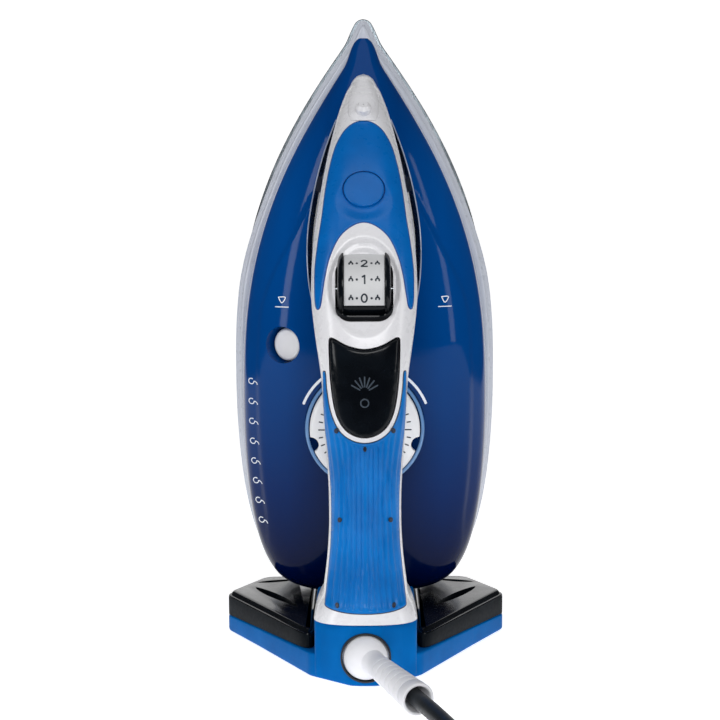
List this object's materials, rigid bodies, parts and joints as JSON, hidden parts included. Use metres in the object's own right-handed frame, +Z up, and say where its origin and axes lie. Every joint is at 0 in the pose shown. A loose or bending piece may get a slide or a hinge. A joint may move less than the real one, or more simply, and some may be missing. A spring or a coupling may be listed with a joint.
{
  "type": "steam iron",
  "caption": "Domestic steam iron standing upright on its heel, with a translucent water tank, loop handle, steam wheel, dial, swivel cord guard and mains lead.",
  "frame": {"origin": "middle of the iron's box on the plane that its heel stands on, without the free cord", "axes": "+Z up from the heel to the tip, -Y is the side that the handle faces, +Y is the ironing face's outward direction, X across"},
  "size_m": [0.1325, 0.4056, 0.29],
  "materials": {
    "steel_sole": "brushed stainless steel with a blue-grey cast",
    "cast_aluminium": "die-cast, slightly rough",
    "element_steel": "oxidised tubular heating element",
    "steel_parts": "plain zinc-plated steel",
    "brass_parts": "turned brass",
    "ivory_plastic": "heat-resistant moulded plastic",
    "white_plastic": "glossy white moulded plastic",
    "white_label": "white drum with printed numbers and dots",
    "white_dial": "white dial with printed ticks and dots",
    "white_button": "satin white push button",
    "white_guard": "soft white moulded cord guard",
    "blue_tank": "deep translucent blue, high gloss",
    "bright_blue_trim": "bright blue, gloss",
    "blue_grip": "soft-touch bright blue with a ribbed grain",
    "dial_ring_blue": "translucent blue, gloss",
    "metallic_blue": "metallic bright blue lacquer",
    "gloss_black": "high-gloss black",
    "dark_studs": "dark blue dots",
    "black_rubber": "soft black rubber",
    "clear_tube": "clear silicone hose",
    "amber_lamp": "neon indicator",
    "smoked_lens": "smoked light guide",
    "black_cord": "black mains lead, satin",
    "black_tie": "black cable tie",
    "black_plug": "moulded black plug",
    "plug_metal": "nickel-plated pins"
  },
  "bodies": {
    "iron": {"soleplate": "steel_sole", "heater_casting": "cast_aluminium", "heating_element": "element_steel", "chamber_cover": "steel_parts", "thermostat": "brass_parts", "thermal_fuse": "ivory_plastic", "skirt": "white_plastic", "skirt_screws": "steel_parts", "tank_base": "blue_tank", "tank_gasket": "black_rubber", "tank_shell": "blue_tank", "valve_seat": "brass_parts", "filler_funnel": "white_plastic", "filler_seal": "black_rubber", "door_pin": "steel_parts", "handle_upper": "white_plastic", "handle_lower": "white_plastic", "handle_screws": "steel_parts", "nose_trim": "bright_blue_trim", "grip_inlay": "blue_grip", "grip_studs": "dark_studs", "spray_nozzle": "white_plastic", "spray_tube": "clear_tube", "wheel_bracket": "ivory_plastic", "wheel_axle": "steel_parts", "valve_spring": "steel_parts", "button_pin": "steel_parts", "pump_body": "ivory_plastic", "pump_spring": "steel_parts", "dial_ring": "dial_ring_blue", "self_clean_guide": "white_plastic", "self_clean_spring": "steel_parts", "rear_cover": "metallic_blue", "heel_rest_left": "gloss_black", "heel_rest_right": "gloss_black", "cover_screws": "steel_parts", "terminal_block": "ivory_plastic", "indicator_lamp": "amber_lamp", "indicator_lens": "smoked_lens", "swivel_collar": "gloss_black"},
    "dial": {"temperature_dial": "white_dial", "dial_shaft": "steel_parts"},
    "wheel": {"steam_wheel": "gloss_black", "wheel_label": "white_label"},
    "valve": {"valve_rod": "steel_parts"},
    "burst_button": {"steam_button": "gloss_black"},
    "piston": {"pump_piston": "black_rubber"},
    "clean_button": {"self_clean_button": "white_button"},
    "water_door": {"filler_door": "bright_blue_trim"},
    "lead": {"cord_guard": "white_guard", "cord": "black_cord", "cord_coil": "black_cord", "coil_tie": "black_tie", "plug_body": "black_plug", "plug_pins": "plug_metal"}
  },
  "joints": [
    {"name": "dial_turn", "type": "hinge", "parent": "iron", "child": "dial", "pos_m": [0, 0, 0.101], "axis": [0, -1, 0], "range_deg": [-135, 135]},
    {"name": "wheel_turn", "type": "hinge", "parent": "iron", "child": "wheel", "pos_m": [0, -0.053, 0.168], "axis": [1, 0, 0], "range_deg": [0, 60]},
    {"name": "valve_lift", "type": "slide", "parent": "iron", "child": "valve", "axis": [0, -1, 0], "range_m": [0, 0.0025], "deforming": ["valve_spring"]},
    {"name": "button_press", "type": "hinge", "parent": "iron", "child": "burst_button", "pos_m": [0, -0.0664, 0.111], "axis": [-1, 0, 0], "range_deg": [0, 6]},
    {"name": "pump_stroke", "type": "slide", "parent": "iron", "child": "piston", "axis": [0, 1, 0], "range_m": [0, 0.00335], "stiffness_N_per_m": 600, "springref_m": -0.002, "deforming": ["pump_spring"]},
    {"name": "clean_press", "type": "slide", "parent": "iron", "child": "clean_button", "axis": [0.5592, 0.829, 0], "range_m": [0, 0.004], "stiffness_N_per_m": 600, "springref_m": -0.002, "deforming": ["self_clean_spring"]},
    {"name": "door_swing", "type": "hinge", "parent": "iron", "child": "water_door", "pos_m": [0, -0.03839, 0.21752], "axis": [-1, 0, 0], "range_deg": [0, 100]},
    {"name": "cord_swivel", "type": "hinge", "parent": "iron", "child": "lead", "pos_m": [0, -0.071, 0.0125], "axis": [0, 0, 1], "range_deg": [-50, 10]}
  ],
  "couplings": [
    {"joint": "wheel_turn", "follows": "valve_lift", "rad_per_m": 418.8},
    {"joint": "button_press", "follows": "pump_stroke", "rad_per_m": 31.25}
  ]
}
